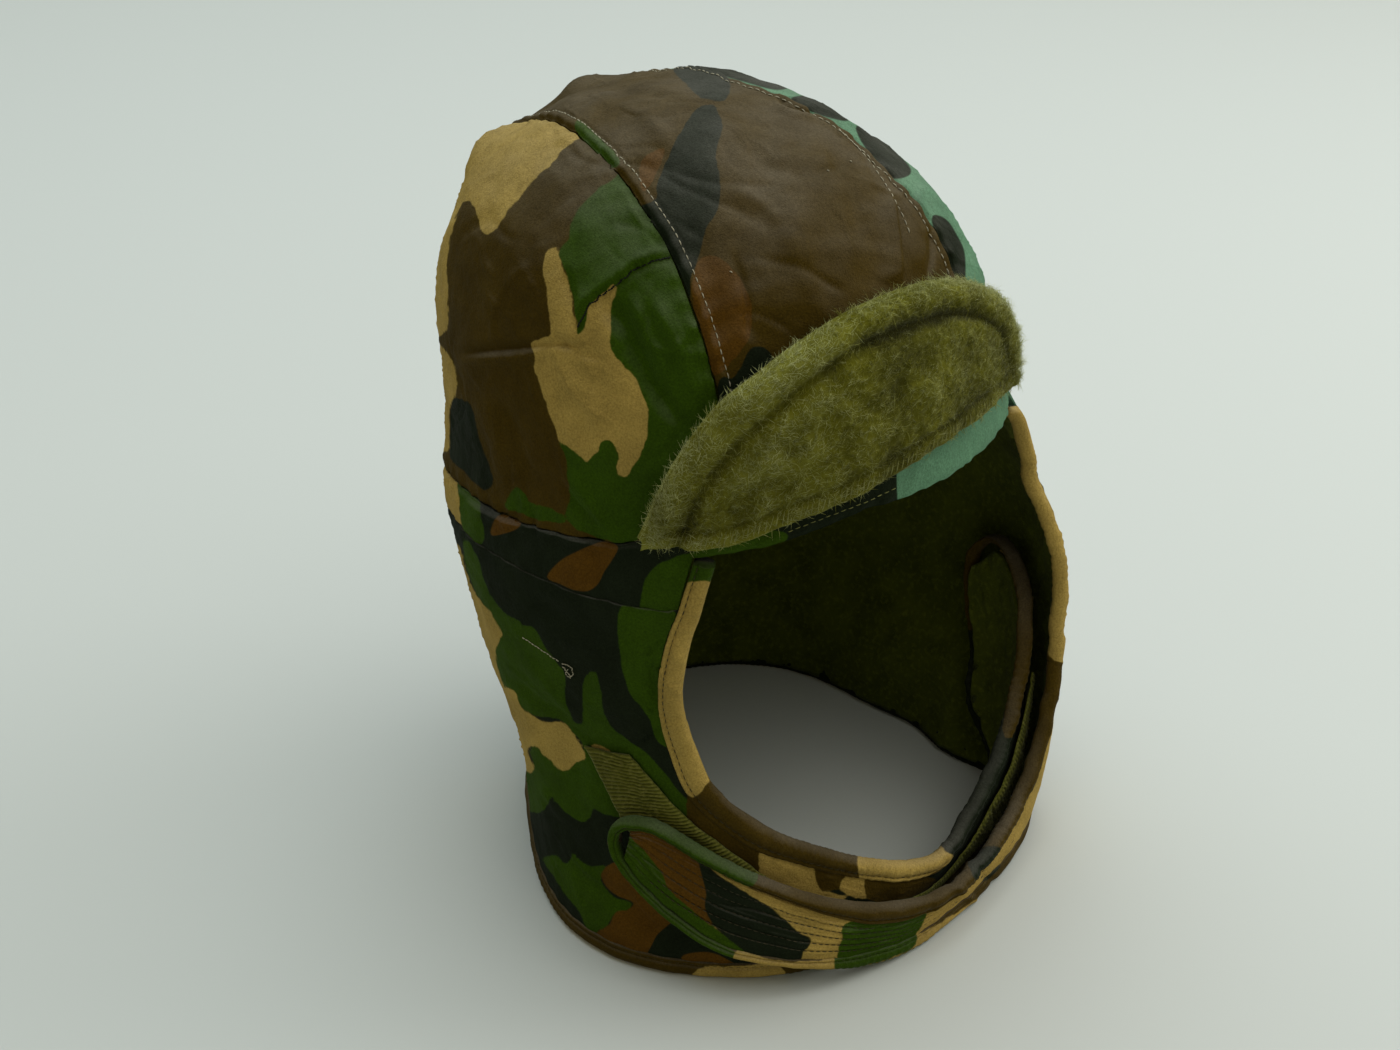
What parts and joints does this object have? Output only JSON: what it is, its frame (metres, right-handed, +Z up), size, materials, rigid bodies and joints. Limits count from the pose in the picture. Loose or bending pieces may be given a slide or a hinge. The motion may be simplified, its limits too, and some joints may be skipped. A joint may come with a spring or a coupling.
{
  "type": "helmet liner cap",
  "caption": "Padded camouflage cloth cap worn under a helmet, with a panelled crown, a turned-up pile visor, neck flaps and crossed chin straps closed on pile tape.",
  "frame": {"origin": "centre of the cap's footprint box, on the surface that its hem rests on", "axes": "+Z up from the hem to the crown, -Y out of the face opening, +X to the wearer's left"},
  "size_m": [0.2118, 0.2244, 0.2894],
  "materials": {
    "camouflage_cloth": "matt woven cotton printed in green, brown, tan and black",
    "pile_lining": "dark olive knitted pile",
    "edge_tape": "matt folded cotton tape",
    "loop_pile": "olive looped tape, ribbed across",
    "hook_tape": "dark olive hook tape",
    "visor_pile": "olive-yellow knitted pile"
  },
  "bodies": {
    "root": {"crown_centre_panel": "camouflage_cloth", "crown_side_right": "camouflage_cloth", "crown_side_left": "camouflage_cloth", "headband": "camouflage_cloth", "crown_lining": "pile_lining", "flap_right": "camouflage_cloth", "flap_left": "camouflage_cloth", "flap_lining_right": "pile_lining", "flap_lining_left": "pile_lining", "edge_binding_right": "edge_tape", "edge_binding_left": "edge_tape", "loop_tape": "loop_pile", "hook_patch": "hook_tape", "visor_shell": "camouflage_cloth", "visor_pile": "visor_pile"}
  },
  "joints": []
}
